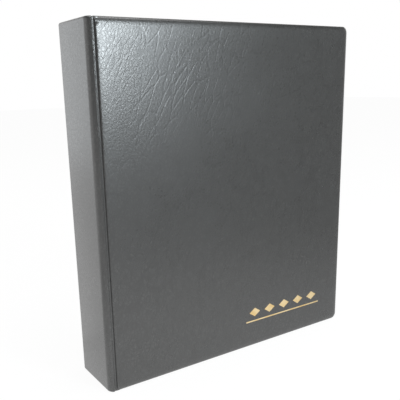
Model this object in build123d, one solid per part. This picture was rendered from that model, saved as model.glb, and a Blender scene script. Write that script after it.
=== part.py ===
from build123d import *
import math
import os

# A banknote album with padded covers and a four-ring mechanism, closed and standing on its bottom edge.
# Millimetres, +Z up. The spine faces -X and the front cover faces -Y.
# The origin is at the bottom centre of the closed album.

# Driving sizes of the closed album
ALBUM_WIDTH = 246.0
ALBUM_DEPTH = 54.0
ALBUM_HEIGHT = 272.0

# Sheets, boards and padding of the covers
SKIN = 0.8
BOARD = 2.4
PAD = 2.4
TURN_IN = 0.6
TURN_IN_WIDTH = 12.0
LINING = 0.4
LINING_MARGIN = 4.0
COVER_CORNER_R = 5.0
COVER_ROUND_WIDTH = 7.0
COVER_ROUND_DEPTH = 2.9
COVER_FACE_CORNER_R = 2.5
COVER_ROUND_STEPS = 5

# Spine and hinge strips
SPINE_SET_BACK = 0.2
SPINE_CORNER_R = 4.5
SPINE_END_R = 2.0
SPINE_EDGE_FLAT = 0.2
STRIP_RECESS = 1.2
STRIP_FALL = 0.9
STRIP_WIDTH = 1.2
PAD_RISE = 1.7
HINGE_LIFT = 0.1

# Foil mark: a rule with a row of lozenges over it, at the lower right of the front cover
FOIL = 0.1
FOIL_SINK = 0.2
FOIL_FIT = 0.05
FOIL_RULE_LENGTH = 87.0
FOIL_RULE_HEIGHT = 1.2
FOIL_FROM_FORE_EDGE = 27.0
FOIL_RULE_Z = 24.0
FOIL_LOZENGES = 5
FOIL_LOZENGE_PITCH = 17.0
FOIL_LOZENGE_WIDTH = 12.0
FOIL_LOZENGE_HEIGHT = 8.0
FOIL_LOZENGE_LIFT = 8.0

# Ring mechanism: a spring-steel housing, two rails that rock in its curled lips, four pairs of half rings
HOUSING_LENGTH = 224.0
HOUSING_RISE = 6.7
HOUSING_SHEET = 0.8
LIP_SPREAD = 9.0
LIP_JOIN_ANGLE = 37.0
RAIL_SHEET = 0.8
RAIL_GAP = 0.1
RAIL_TILT = 2.5
PIVOT_FIT = 0.05
LIP_MOUTH_FIT = 0.07
RING_R = 16.0
RING_ABOVE_CROWN = 14.5
WIRE_R = 1.5
RING_ARC_END = 153.0
RING_BEND_R = 3.0
RING_TIP_GAP = 0.05
RING_OPEN = 5.0
RING_OUTER_PITCH = 45.0
RING_INNER_PITCH = 65.0
PIN_R = 0.7
PIN_LENGTH = 1.0
PIN_FIT = 0.1
TENON_R = 1.0
TENON_FIT = 0.02
TENON_HEAD = 0.4
SLOT_FIT = 0.35
SLOT_OUTER_FIT = 0.9

# Rivets that hold the mechanism to the spine board
RIVET_INSET = 17.0
RIVET_SHANK_R = 2.0
RIVET_FIT = 0.05
RIVET_HEAD_R = 4.0
RIVET_HEAD = 0.8
RIVET_DOME_R = 3.2
RIVET_DOME = 1.1
COLLAR_WALL = 1.0
COLLAR_CLEARANCE = 0.5

# Trigger levers, one at each end of the housing
LEVER_SHEET = 1.0
LEVER_TURN = 20.0
LEVER_ARM = 2.0
LEVER_WIDTH = 8.4
LEVER_WINDOW_WIDTH = 6.8
LEVER_WINDOW = 1.9
LEVER_TAB_WIDTH = 15.0
LEVER_TAB_REACH = 12.5
LEVER_TAB_RISE = 5.6
LEVER_TAB_CORNER_R = 5.0
LEVER_CURL_REACH = 5.6
LEVER_CURL_RISE = 0.8
LEVER_TIP_SLOPE = 35.0
LEVER_PIN_R = 0.8
LEVER_PIN_HEAD_R = 1.3
LEVER_PIN_HEAD = 0.4
LEVER_PIN_LIFT = 1.8
LEVER_PIN_FROM_END = 2.5
LEVER_EAR_R = 1.5
LEVER_FOOT_GAP = 0.3
TONGUE_WIDTH = 3.0
TONGUE_LIFT = 1.2
TONGUE_SHORT_OF_PIN = 1.2
RAIL_SHORT_OF_PIN = 6.5

# Pages: clear film with three pockets, and a black interleaf behind each
PAGES_EACH_SIDE = 5
PAGE_PITCH = 2.2
PAGE_WIDTH = 200.0
PAGE_HEIGHT = 250.0
PAGE_CORNER_R = 4.0
FILM = 0.2
POCKET_GAP = 0.15
SEAM = 2.5
POCKETS = 3
POCKET_MOUTH = 4.0
BINDING_MARGIN = 15.0
HOLE_FROM_EDGE = 7.0
HOLE_WIDTH = 8.0
HOLE_HEIGHT = 4.4
HOLE_REST = 0.05
INTERLEAF = 0.3
INTERLEAF_INSET = 1.5

# Places worked out from the sizes above
SPINE_X = -ALBUM_WIDTH / 2
FORE_X = ALBUM_WIDTH / 2
FRONT_Y = -ALBUM_DEPTH / 2
MID_Z = ALBUM_HEIGHT / 2

COVER_BUILD_UP = SKIN + PAD + BOARD + TURN_IN
SPINE_Y = FRONT_Y + SPINE_SET_BACK
STRIP_Y = SPINE_Y + STRIP_RECESS
SPINE_INNER_X = SPINE_X + SKIN + BOARD
SPINE_FACE_X = SPINE_INNER_X + TURN_IN + LINING
SPINE_EDGE_X = SPINE_X + SPINE_CORNER_R + SPINE_EDGE_FLAT
STRIP_START_X = SPINE_EDGE_X + STRIP_FALL
HINGE_X = STRIP_START_X + STRIP_WIDTH / 2
COVER_EDGE_X = STRIP_START_X + STRIP_WIDTH
PAD_TOP_X = COVER_EDGE_X + PAD_RISE
HINGE_Y = FRONT_Y - HINGE_LIFT

LIP_R = RAIL_SHEET / 2 + PIVOT_FIT + HOUSING_SHEET
PIVOT_X = SPINE_FACE_X + LIP_R
CROWN_X = SPINE_FACE_X + HOUSING_RISE
RING_X = CROWN_X + RING_ABOVE_CROWN
RAIL_WIDTH = LIP_SPREAD - RAIL_GAP
RING_OFFSETS = (
    -RING_INNER_PITCH / 2 - RING_OUTER_PITCH,
    -RING_INNER_PITCH / 2,
    RING_INNER_PITCH / 2,
    RING_INNER_PITCH / 2 + RING_OUTER_PITCH,
)
RIVET_OFFSET = HOUSING_LENGTH / 2 - RIVET_INSET
COLLAR_R = RIVET_SHANK_R + RIVET_FIT + COLLAR_WALL
PIN_OFFSET = HOUSING_LENGTH / 2 - LEVER_PIN_FROM_END
PAGE_THICKNESS = 2 * FILM + POCKET_GAP + INTERLEAF


def block(x0, x1, y0, y1, z0, z1):
    """A rectangular block between three pairs of limits."""
    return Pos((x0 + x1) / 2, (y0 + y1) / 2, (z0 + z1) / 2) * Box(x1 - x0, y1 - y0, z1 - z0)


def rod(centre, direction, radius, length):
    """A round bar that starts at a centre and runs along a direction."""
    return extrude(Plane(origin=centre, z_dir=direction) * Circle(radius), length)


def spin(shape, x, y, angle):
    """The shape turned about an upright axis."""
    return Pos(x, y, 0) * Rot(0, 0, angle) * Pos(-x, -y, 0) * shape


def to_back(shape):
    """The mirror image of a front piece, for the back of the album."""
    return mirror(shape, about=Plane.XZ)


def to_bottom(shape):
    """The mirror image of a piece at the top end, for the bottom end."""
    return mirror(shape, about=Plane.XY.offset(MID_Z))


def save(name, *solids):
    """One file for one named piece, or for a set of identical pieces."""
    parts = [solid for shape in solids for solid in shape.solids()]
    export_step(parts[0] if len(parts) == 1 else Compound(parts), f"parts/{name}.step")


# Spine
def spine_half(inset):
    """The front half of the spine's rounded cross-section, set in from its outer surface."""
    x, y, r = SPINE_X + inset, SPINE_Y + inset, SPINE_CORNER_R - inset
    sides = [
        Line((x, 0), (x, y + r)),
        CenterArc((x + r, y + r), r, 180, 90),
        Line((x + r, y), (SPINE_EDGE_X, y)),
        Line((SPINE_EDGE_X, y), (SPINE_EDGE_X, 0)),
        Line((SPINE_EDGE_X, 0), (x, 0)),
    ]
    return make_face(sides)


def strip_half():
    """The cross-section of what joins the spine's front edge to the hinge line."""
    middle = (SPINE_EDGE_X + STRIP_START_X) / 2
    foot = STRIP_Y + SKIN
    sides = [
        Bezier((SPINE_EDGE_X, SPINE_Y), (middle, SPINE_Y), (middle, STRIP_Y), (STRIP_START_X, STRIP_Y)),
        Line((STRIP_START_X, STRIP_Y), (HINGE_X, STRIP_Y)),
        Line((HINGE_X, STRIP_Y), (HINGE_X, foot)),
        Line((HINGE_X, foot), (SPINE_EDGE_X, foot)),
        Line((SPINE_EDGE_X, foot), (SPINE_EDGE_X, SPINE_Y)),
    ]
    return make_face(sides)


def spine_ends(inset):
    """A block whose ends are rounded towards the spine's face and towards both covers, as the spine is."""
    x, y = SPINE_X + inset, SPINE_Y + inset
    whole = block(x, FORE_X, y, -y, inset, ALBUM_HEIGHT - inset)
    to_face = fillet(whole.edges().filter_by(Axis.Y).group_by(Axis.X)[0], SPINE_END_R - inset)
    to_covers = fillet(whole.edges().filter_by(Axis.X), SPINE_END_R - inset)
    return to_face & to_covers


def spine_core():
    """The space inside the spine's leatherette, which the board fills."""
    half = spine_half(SKIN)
    core = extrude(half + mirror(half, about=Plane.XZ), ALBUM_HEIGHT) & spine_ends(SKIN)
    return core & block(SPINE_X, SPINE_INNER_X, FRONT_Y, -FRONT_Y, 0, ALBUM_HEIGHT)


def make_spine_board():
    """Greyboard of the spine, with rounded outer edges and two countersunk rivet holes."""
    board = spine_core()
    face_x = SPINE_X + SKIN
    for offset in (-RIVET_OFFSET, RIVET_OFFSET):
        board -= rod((face_x, 0, MID_Z + offset), (1, 0, 0), RIVET_HEAD_R + RIVET_FIT, RIVET_HEAD)
        board -= rod((face_x, 0, MID_Z + offset), (1, 0, 0), RIVET_SHANK_R + RIVET_FIT, BOARD)
    return board


def make_spine_skin():
    """Leatherette over the spine board, turned in at both ends, with the outer half of both strips."""
    half = spine_half(0) + strip_half()
    reach = -STRIP_Y - SKIN
    skin = extrude(half + mirror(half, about=Plane.XZ), ALBUM_HEIGHT) & spine_ends(0)
    skin -= block(SPINE_INNER_X, HINGE_X, -reach, reach, 0, ALBUM_HEIGHT)
    skin -= spine_core()
    for low in (0, ALBUM_HEIGHT - TURN_IN_WIDTH):
        skin += block(SPINE_INNER_X, SPINE_INNER_X + TURN_IN, -reach, reach, low, low + TURN_IN_WIDTH)
    return skin


def make_spine_lining():
    """Inner lining of the spine, over the turned-in edges, with the inner layer of both strips."""
    low, high = LINING_MARGIN, ALBUM_HEIGHT - LINING_MARGIN
    reach = -STRIP_Y - SKIN
    lining = block(
        SPINE_INNER_X, SPINE_INNER_X + TURN_IN, -reach, reach, TURN_IN_WIDTH, ALBUM_HEIGHT - TURN_IN_WIDTH
    )
    lining += block(SPINE_INNER_X + TURN_IN, SPINE_FACE_X, -reach, reach, low, high)
    for side in (-1, 1):
        y0, y1 = sorted((side * reach, side * (reach - LINING)))
        lining += block(SPINE_FACE_X, HINGE_X, y0, y1, low, high)
    for offset in (-RIVET_OFFSET, RIVET_OFFSET):
        hole_start = (SPINE_INNER_X, 0, MID_Z + offset)
        lining -= rod(hole_start, (1, 0, 0), RIVET_SHANK_R + RIVET_FIT, TURN_IN + LINING)
    return lining


# Covers, modelled for the front and mirrored for the back
def cover_section(share, inset):
    """The padded cover's outline: at its sides where the share is 0, and at its flat face where it is 1."""
    along = math.radians(90 * share)
    set_in = inset + (COVER_ROUND_WIDTH - inset) * (1 - math.cos(along))
    y = FRONT_Y + inset + (COVER_ROUND_DEPTH - inset) * (1 - math.sin(along))
    corner_r = COVER_CORNER_R + (COVER_FACE_CORNER_R - COVER_CORNER_R) * share - inset
    width = FORE_X - set_in - COVER_EDGE_X
    outline = Pos(COVER_EDGE_X + width / 2, MID_Z) * Rectangle(width, ALBUM_HEIGHT - 2 * set_in)
    outline = fillet(outline.vertices().group_by(Axis.X)[-1], corner_r)
    return Plane(origin=(0, y, 0), x_dir=(1, 0, 0), z_dir=(0, -1, 0)) * outline


def cover_slab(inset, depth):
    """The cover with its cushioned rim, set in from the outer surface all round but at the spine side."""
    shares = [step / COVER_ROUND_STEPS for step in range(COVER_ROUND_STEPS + 1)]
    sections = [cover_section(share, inset) for share in shares]
    straight = inset + depth - COVER_ROUND_DEPTH
    return loft(sections) + extrude(sections[0], -straight)


def pad_rise_cut(inset):
    """What is cut from the slab beside the strip, so that the padding rises in a rounded edge."""
    rise_r = PAD_RISE - inset
    recess = STRIP_Y - FRONT_Y
    foot_y = STRIP_Y + inset
    curve = EllipticalCenterArc((PAD_TOP_X, foot_y), rise_r, recess, 180, arc_size=90)
    outside = FRONT_Y - recess
    sides = [
        Line((PAD_TOP_X, foot_y - recess), (PAD_TOP_X, outside)),
        Line((PAD_TOP_X, outside), (SPINE_X, outside)),
        Line((SPINE_X, outside), (SPINE_X, foot_y)),
        Line((SPINE_X, foot_y), (PAD_TOP_X - rise_r, foot_y)),
    ]
    return extrude(make_face([curve] + sides), ALBUM_HEIGHT)


def make_front_core():
    """Board and pad together: the hollow of the leatherette skin."""
    return cover_slab(SKIN, PAD + BOARD) - pad_rise_cut(SKIN)


def split_core(core, pad_side):
    """The part of the core in front of the board's face, or the board itself."""
    face_y = FRONT_Y + SKIN + PAD
    if pad_side:
        keep = block(SPINE_X, FORE_X, FRONT_Y, face_y, 0, ALBUM_HEIGHT)
    else:
        keep = block(SPINE_X, FORE_X, face_y, face_y + BOARD, 0, ALBUM_HEIGHT)
    return core & keep


def make_front_skin(core):
    """Leatherette over the padded front cover, turned in round three edges, with half of the hinge strip."""
    inner_y = FRONT_Y + COVER_BUILD_UP
    skin = cover_slab(0, COVER_BUILD_UP) - pad_rise_cut(0) - core
    skin -= block(
        COVER_EDGE_X,
        FORE_X - TURN_IN_WIDTH,
        inner_y - TURN_IN,
        inner_y,
        TURN_IN_WIDTH,
        ALBUM_HEIGHT - TURN_IN_WIDTH,
    )
    skin += block(HINGE_X, COVER_EDGE_X, STRIP_Y, STRIP_Y + SKIN, 0, ALBUM_HEIGHT)
    return skin - foil_shapes(FOIL_SINK, FOIL_FIT)


def make_front_lining():
    """Inner lining of the front cover, over the turned-in edges, with the inner layer of the strip."""
    inner_y = FRONT_Y + COVER_BUILD_UP
    low, high = LINING_MARGIN, ALBUM_HEIGHT - LINING_MARGIN
    strip_y = STRIP_Y + SKIN
    edge_x = COVER_EDGE_X - LINING
    lining = block(
        COVER_EDGE_X,
        FORE_X - TURN_IN_WIDTH,
        inner_y - TURN_IN,
        inner_y,
        TURN_IN_WIDTH,
        ALBUM_HEIGHT - TURN_IN_WIDTH,
    )
    lining += block(edge_x, FORE_X - LINING_MARGIN, inner_y, inner_y + LINING, low, high)
    lining += block(edge_x, COVER_EDGE_X, strip_y, inner_y, low, high)
    lining += block(HINGE_X, edge_x, strip_y, strip_y + LINING, low, high)
    return lining


def foil_shapes(depth, spare):
    """The rule and the row of lozenges, as prisms that go into the cover's front face."""
    right = FORE_X - FOIL_FROM_FORE_EDGE
    middle = right - FOIL_RULE_LENGTH / 2
    rule = Rectangle(FOIL_RULE_LENGTH + 2 * spare, FOIL_RULE_HEIGHT + 2 * spare)
    shapes = [Pos(middle, FOIL_RULE_Z) * rule]
    half_w, half_h = FOIL_LOZENGE_WIDTH / 2 + spare, FOIL_LOZENGE_HEIGHT / 2 + spare
    for number in range(FOIL_LOZENGES):
        x = middle + (number - (FOIL_LOZENGES - 1) / 2) * FOIL_LOZENGE_PITCH
        lozenge = Polygon((-half_w, 0), (0, -half_h), (half_w, 0), (0, half_h))
        shapes.append(Pos(x, FOIL_RULE_Z + FOIL_LOZENGE_LIFT) * lozenge)
    front = Plane(origin=(0, FRONT_Y, 0), x_dir=(1, 0, 0), z_dir=(0, -1, 0))
    return Compound([extrude(front * shape, -depth) for shape in shapes])


def make_foil_mark():
    """Gold foil pressed into the front cover."""
    return Pos(0, FOIL_SINK - FOIL, 0) * foil_shapes(FOIL, 0)


# Ring mechanism
def arch_circle():
    """Centre and outer radius of the housing's arched back, from its crown and the outside of its lips."""
    join = math.radians(LIP_JOIN_ANGLE)
    half_chord = LIP_SPREAD + LIP_R * math.cos(join)
    shoulder_x = PIVOT_X + LIP_R * math.sin(join)
    sagitta = CROWN_X - shoulder_x
    radius = (half_chord**2 + sagitta**2) / (2 * sagitta)
    return CROWN_X - radius, radius


def make_housing():
    """Arched spring-steel channel with curled lips, slots for the rings, and holes for rivets and pins."""
    centre_x, outer_r = arch_circle()
    inner_r = outer_r - HOUSING_SHEET
    ring_band = Pos(centre_x, 0) * (Circle(outer_r) - Circle(inner_r))
    reach = LIP_SPREAD + LIP_R
    keep = Pos(PIVOT_X + reach / 2, 0) * Rectangle(reach, 2 * reach)
    profile = ring_band & keep
    for side in (-1, 1):
        profile += Pos(PIVOT_X, side * LIP_SPREAD) * Circle(LIP_R)
    hollow = Pos(centre_x, 0) * Circle(inner_r) & keep
    profile -= hollow & Rectangle(4 * reach, 2 * LIP_SPREAD)
    for side in (-1, 1):
        pivot = Pos(PIVOT_X, side * LIP_SPREAD)
        profile -= pivot * Circle(RAIL_SHEET / 2 + PIVOT_FIT)
        root = RAIL_SHEET / 2 + LIP_MOUTH_FIT
        spread = 2 * LIP_R * math.tan(math.radians(RAIL_TILT + 1))
        mouth = Polygon(
            (-root, 0),
            (root, 0),
            (root + spread, -side * 2 * LIP_R),
            (-root - spread, -side * 2 * LIP_R),
            align=None,
        )
        profile -= pivot * mouth
    low = MID_Z - HOUSING_LENGTH / 2
    housing = extrude(Pos(0, 0, low) * profile, HOUSING_LENGTH)
    for offset in RING_OFFSETS:
        for side in (-1, 1):
            housing -= ring_slot(offset, side)
    for offset in (-RIVET_OFFSET, RIVET_OFFSET):
        housing -= rod((PIVOT_X, 0, MID_Z + offset), (1, 0, 0), RIVET_SHANK_R + RIVET_FIT, HOUSING_RISE)
    for offset in (-PIN_OFFSET, PIN_OFFSET):
        housing -= rod((lever_pin_x(), -reach, MID_Z + offset), (0, 1, 0), LEVER_PIN_R + PIVOT_FIT, 2 * reach)
    return housing


def leg_y():
    """How far from the middle the straight leg of a half ring goes down through the housing."""
    turn = math.radians(RING_ARC_END - 90)
    return RING_R * math.cos(turn) - RING_BEND_R * (1 - math.cos(turn))


def ring_slot(offset, side):
    """The slot through the housing's back that a half ring's leg goes through, rounded at both ends."""
    inner = leg_y() - WIRE_R - SLOT_FIT
    outer = leg_y() + WIRE_R + SLOT_OUTER_FIT
    y = side * (inner + outer) / 2
    plan = Plane(origin=(PIVOT_X + RAIL_SHEET, y, MID_Z + offset), x_dir=(0, 1, 0), z_dir=(1, 0, 0))
    return extrude(plan * SlotOverall(outer - inner, 2 * (WIRE_R + SLOT_FIT)), HOUSING_RISE)


def rail_plain(low, high):
    """The front rail without holes: a flat strip with a round outer edge, in the closed position."""
    strip = Rectangle(RAIL_SHEET, RAIL_WIDTH, align=(Align.CENTER, Align.MIN)) + Circle(RAIL_SHEET / 2)
    rail = extrude(Pos(PIVOT_X, -LIP_SPREAD, low) * strip, high - low)
    return spin(rail, PIVOT_X, -LIP_SPREAD, RAIL_TILT)


def rail_tongue():
    """The raised tongue at the top end of the front rail, which the lever's window holds."""
    top = MID_Z + PIN_OFFSET - TONGUE_SHORT_OF_PIN
    joggle = MID_Z + PIN_OFFSET - RAIL_SHORT_OF_PIN - RAIL_SHEET
    half = RAIL_SHEET / 2
    side = Polyline(
        (PIVOT_X - half, joggle - RAIL_SHEET),
        (PIVOT_X + half, joggle - RAIL_SHEET),
        (PIVOT_X + half + TONGUE_LIFT, joggle + half),
        (PIVOT_X + half + TONGUE_LIFT, top),
        (PIVOT_X - half + TONGUE_LIFT, top),
        (PIVOT_X - half + TONGUE_LIFT, joggle + 2 * RAIL_SHEET),
        (PIVOT_X - half, joggle + half),
        close=True,
    )
    plane = Plane(origin=(0, -LIP_SPREAD + RAIL_WIDTH, 0), x_dir=(1, 0, 0), z_dir=(0, -1, 0))
    tongue = extrude(plane * make_face(side), TONGUE_WIDTH)
    return spin(tongue, PIVOT_X, -LIP_SPREAD, RAIL_TILT)


def make_front_rail():
    """Carrier rail of the front half rings, closed: its inner edge lies low, past the flat position."""
    end = PIN_OFFSET - RAIL_SHORT_OF_PIN
    tongue = rail_tongue()
    rail = rail_plain(MID_Z - end, MID_Z + end) + tongue + to_bottom(tongue)
    for offset in (-RIVET_OFFSET, RIVET_OFFSET):
        rail -= rod((SPINE_FACE_X, 0, MID_Z + offset), (1, 0, 0), COLLAR_R + COLLAR_CLEARANCE, HOUSING_RISE)
    for offset in RING_OFFSETS:
        rail -= rod((SPINE_FACE_X, -leg_y(), MID_Z + offset), (1, 0, 0), TENON_R + TENON_FIT, HOUSING_RISE)
    return rail


def make_front_half_ring(offset):
    """A front half ring: its arc, the bend into its leg, the tenon riveted in the rail, and the tip's pin."""
    start = math.degrees(RING_TIP_GAP / 2 / RING_R)
    z = MID_Z + offset
    arc = CenterArc((RING_X, 0), RING_R, -start, start - RING_ARC_END)
    turn = RING_ARC_END - 90
    bend_x = (arc @ 1).X - RING_BEND_R * math.sin(math.radians(turn))
    bend = CenterArc((bend_x, -leg_y() - RING_BEND_R), RING_BEND_R, 90 - turn, turn)
    head_x = PIVOT_X - leg_drop() - TENON_HEAD
    leg = Line(bend @ 1, (head_x, -leg_y()))
    path = Pos(0, 0, z) * Wire([arc, bend, leg])
    section = Plane(origin=path @ 0, z_dir=path % 0) * Circle(WIRE_R)
    ring = sweep(section, path=path)
    ring -= rail_plain(z - 2 * WIRE_R, z + 2 * WIRE_R)
    ring += rod((head_x, -leg_y(), z), (1, 0, 0), TENON_R, RAIL_SHEET + 2 * TENON_HEAD)
    tip = path @ 0
    ring += rod((tip.X, tip.Y - PIN_R, z), (0, 1, 0), PIN_R, PIN_R + PIN_LENGTH)
    return ring


def leg_drop():
    """How far the rail's lower face lies under the pivot where a leg goes through it."""
    return (LIP_SPREAD - leg_y()) * math.sin(math.radians(RAIL_TILT)) + RAIL_SHEET / 2


def make_back_half_ring(offset):
    """A back half ring: the mirror image of a front one, with a socket where that has its pin."""
    z = MID_Z + offset
    front = make_front_half_ring(offset)
    tip_x = RING_X + RING_R
    front -= rod((tip_x, -RING_TIP_GAP / 2, z), (0, 1, 0), 2 * PIN_R, 2 * PIN_LENGTH)
    socket = rod((tip_x, -PIN_LENGTH - 2 * PIN_FIT, z), (0, 1, 0), PIN_R + PIN_FIT, 2 * PIN_LENGTH)
    return to_back(front - socket)


def make_rivets():
    """Two rivets from the board's outer face through the collars to a dome on the housing's crown."""
    x0 = SPINE_X + SKIN
    centre_x, outer_r = arch_circle()
    rim_x = CROWN_X - RIVET_DOME / 2
    dome_r = (RIVET_DOME_R**2 + RIVET_DOME**2) / (2 * RIVET_DOME)
    dome_centre_x = CROWN_X + RIVET_DOME - dome_r
    half_turn = math.asin(RIVET_DOME_R / dome_r) / 2
    dome_middle = (dome_centre_x + dome_r * math.cos(half_turn), dome_r * math.sin(half_turn))
    rivets = []
    for offset in (-RIVET_OFFSET, RIVET_OFFSET):
        z = MID_Z + offset
        dome_top = (CROWN_X + RIVET_DOME, 0)
        dome_rim = (CROWN_X, RIVET_DOME_R)
        curve = ThreePointArc(dome_top, dome_middle, dome_rim)
        sides = Polyline(dome_rim, (rim_x, RIVET_DOME_R), (rim_x, 0), dome_top)
        dome = revolve(Pos(0, 0, z) * make_face([curve, sides]), Axis((0, 0, z), (1, 0, 0)))
        dome -= extrude(Pos(centre_x, 0, z - RIVET_HEAD_R) * Circle(outer_r), 2 * RIVET_HEAD_R)
        rivet = rod((x0, 0, z), (1, 0, 0), RIVET_HEAD_R, RIVET_HEAD)
        rivet += rod((x0, 0, z), (1, 0, 0), RIVET_SHANK_R, CROWN_X - x0 + RIVET_DOME / 2)
        rivets.append(rivet + dome)
    return rivets


def make_collars():
    """Two spacer collars between the spine lining and the underside of the housing's crown."""
    centre_x, outer_r = arch_circle()
    collars = []
    for offset in (-RIVET_OFFSET, RIVET_OFFSET):
        z = MID_Z + offset
        collar = rod((SPINE_FACE_X, 0, z), (1, 0, 0), COLLAR_R, HOUSING_RISE)
        collar -= rod((SPINE_FACE_X, 0, z), (1, 0, 0), RIVET_SHANK_R + RIVET_FIT, HOUSING_RISE)
        inside = extrude(Pos(centre_x, 0, z - COLLAR_R) * Circle(outer_r - HOUSING_SHEET), 2 * COLLAR_R)
        collars.append(collar & inside)
    return collars


def lever_pin_x():
    """Height of a lever's pin over the spine's inner face."""
    return SPINE_FACE_X + LEVER_PIN_LIFT


def make_top_lever():
    """Trigger lever: a bent plate with a thumb tab, ears on a pin, and a window for the rails' tongues."""
    pin_x, pin_z = lever_pin_x(), MID_Z + PIN_OFFSET
    window_x = PIVOT_X + TONGUE_LIFT - tongue_drop()
    roof_x = window_x + LEVER_WINDOW / 2
    web_z = pin_z - LEVER_ARM
    half = LEVER_SHEET / 2
    side = Plane.XZ
    tab_start = (roof_x + half, pin_z + LEVER_PIN_FROM_END)
    tab_bend = (roof_x + half + LEVER_CURL_RISE, pin_z + LEVER_PIN_FROM_END + LEVER_CURL_REACH)
    tab_end = (roof_x + half + LEVER_TAB_RISE, pin_z + LEVER_TAB_REACH)
    roof_line = Line((roof_x + half, web_z), tab_start)
    slope = math.radians(LEVER_TIP_SLOPE)
    tab_line = Spline(tab_start, tab_bend, tab_end, tangents=((0, 1), (math.cos(slope), math.sin(slope))))
    roof = extrude(side * trace(roof_line, LEVER_SHEET), LEVER_WIDTH / 2, both=True)
    tab = extrude(side * trace(tab_line, LEVER_SHEET), LEVER_TAB_WIDTH / 2, both=True)
    plan = Plane(origin=(roof_x - LEVER_SHEET, 0, pin_z), x_dir=(0, 1, 0), z_dir=(1, 0, 0))
    tab_plan = Pos(0, LEVER_TAB_REACH / 2 + LEVER_PIN_FROM_END / 2) * RectangleRounded(
        LEVER_TAB_WIDTH, LEVER_TAB_REACH - LEVER_PIN_FROM_END + 2 * half, LEVER_TAB_CORNER_R
    )
    tab &= extrude(plan * tab_plan, 2 * LEVER_TAB_RISE)
    web_foot = SPINE_FACE_X + LEVER_FOOT_GAP
    web = block(web_foot, roof_x + half, -LEVER_WIDTH / 2, LEVER_WIDTH / 2, web_z - half, web_z + half)
    window_half = LEVER_WINDOW / 2
    window = block(
        window_x - window_half,
        window_x + window_half,
        -LEVER_WINDOW_WIDTH / 2,
        LEVER_WINDOW_WIDTH / 2,
        web_z - LEVER_SHEET,
        web_z + LEVER_SHEET,
    )
    lever = roof + tab + (web - window)
    for side_sign in (-1, 1):
        outer = side_sign * LEVER_WIDTH / 2
        inner = side_sign * (LEVER_WIDTH / 2 - LEVER_SHEET)
        y0, y1 = sorted((outer, inner))
        lever += rod((pin_x, y0, pin_z), (0, 1, 0), LEVER_EAR_R, LEVER_SHEET)
        lever += block(pin_x, roof_x + half, y0, y1, pin_z - LEVER_EAR_R, pin_z + LEVER_EAR_R)
    pin_hole = rod((pin_x, -LEVER_WIDTH, pin_z), (0, 1, 0), LEVER_PIN_R + PIVOT_FIT, 2 * LEVER_WIDTH)
    return lever - pin_hole


def tongue_drop():
    """How far the middle of the rails' tongues lies under the pivot, with the rings closed."""
    return (RAIL_WIDTH - TONGUE_WIDTH / 2) * math.sin(math.radians(RAIL_TILT))


def make_lever_pins():
    """Two headed pins across the ends of the housing, one for each lever."""
    reach = LIP_SPREAD + LIP_R
    pins = []
    for offset in (-PIN_OFFSET, PIN_OFFSET):
        z = MID_Z + offset
        pin = rod((lever_pin_x(), -reach, z), (0, 1, 0), LEVER_PIN_R, 2 * reach)
        for side in (-1, 1):
            start = side * reach if side > 0 else -reach - LEVER_PIN_HEAD
            pin += rod((lever_pin_x(), start, z), (0, 1, 0), LEVER_PIN_HEAD_R, LEVER_PIN_HEAD)
        pins.append(pin)
    return pins


# Pages
def page_y(number):
    """How far a page's middle lies from the album's middle, counted from the front cover."""
    return (number - PAGES_EACH_SIDE + 0.5) * PAGE_PITCH


def ring_crossing(y):
    """Where the ring wire crosses a page, half way between the closed and the open rings."""
    depth = abs(y)
    closed = math.sqrt(RING_R**2 - depth**2)
    turn = math.radians(RING_OPEN)
    arm_x, arm_y = RING_X - PIVOT_X, LIP_SPREAD
    shift_x = arm_x * math.cos(turn) + arm_y * math.sin(turn) - arm_x
    shift_y = arm_x * math.sin(turn) - arm_y * math.cos(turn) + arm_y
    shift = math.hypot(shift_x, shift_y)
    opened = shift + math.sqrt(RING_R**2 - depth**2 + (depth * shift_y - shift_y**2 / 2))
    return RING_X + (closed + opened) / 2


def hole_prism(hole_x, y0, y1, offset):
    """One oblong punched hole, placed so that its upper edge rests on the ring wire."""
    z = MID_Z + offset + WIRE_R + HOLE_REST - HOLE_HEIGHT / 2
    plane = Plane(origin=(hole_x, y0, z), x_dir=(1, 0, 0), z_dir=(0, 1, 0))
    return extrude(plane * SlotOverall(HOLE_WIDTH, HOLE_HEIGHT), y1 - y0)


def sheet(x0, x1, y0, y1, z0, z1, corner):
    """A flat sheet with rounded corners."""
    plane = Plane(origin=((x0 + x1) / 2, y0, (z0 + z1) / 2), x_dir=(1, 0, 0), z_dir=(0, 1, 0))
    return extrude(plane * RectangleRounded(x1 - x0, z1 - z0, corner), y1 - y0)


def make_page(number):
    """A clear page: a back film, three pocket fronts welded on at the sides and below, and four holes."""
    y0 = page_y(number) - PAGE_THICKNESS / 2
    hole_x = ring_crossing(page_y(number))
    x0, x1 = hole_x - HOLE_FROM_EDGE, hole_x - HOLE_FROM_EDGE + PAGE_WIDTH
    z0 = MID_Z - PAGE_HEIGHT / 2
    pocket_y = y0 + FILM
    film_y = pocket_y + POCKET_GAP
    page = sheet(x0, x1, film_y, film_y + FILM, z0, z0 + PAGE_HEIGHT, PAGE_CORNER_R)
    pitch = (PAGE_HEIGHT - SEAM) / POCKETS
    left, right = x0 + BINDING_MARGIN, x1 - SEAM
    for pocket in range(POCKETS):
        low = z0 + SEAM + pocket * pitch
        high = low + pitch - SEAM - (POCKET_MOUTH if pocket == POCKETS - 1 else 0)
        front = block(left - SEAM, right, y0, film_y, low - SEAM, high)
        pocket_space = block(left, right - SEAM, pocket_y, film_y, low, high)
        page += front - pocket_space
    for offset in RING_OFFSETS:
        page -= hole_prism(hole_x, y0 - FILM, film_y + 2 * FILM, offset)
    return page


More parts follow.
